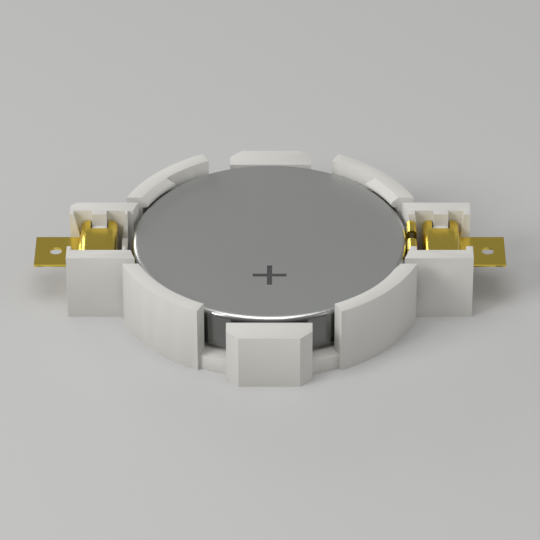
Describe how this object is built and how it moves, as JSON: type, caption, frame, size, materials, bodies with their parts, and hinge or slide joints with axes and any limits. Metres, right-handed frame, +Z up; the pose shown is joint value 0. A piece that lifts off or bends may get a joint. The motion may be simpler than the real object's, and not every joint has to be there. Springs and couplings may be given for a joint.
{
  "type": "coin cell holder",
  "caption": "Surface mount holder whose round moulded pocket sits in a board cut-out and carries a coin cell between folded spring contacts in end towers.",
  "frame": {"origin": "on the cell's axis, at the underside of the housing", "axes": "+X towards the positive contact and along the longest side, +Y towards the rear block, +Z up out of the board and along the cell's axis"},
  "size_m": [0.034, 0.0242, 0.0051],
  "materials": {
    "housing": "matt off-white high temperature moulding",
    "contact": "gold plated sheet",
    "cell": "fine matt steel with a bright rolled shoulder"
  },
  "bodies": {
    "root": {"housing": "housing", "positive_contact": "contact", "negative_contact": "contact", "coin_cell": "cell"}
  },
  "joints": []
}
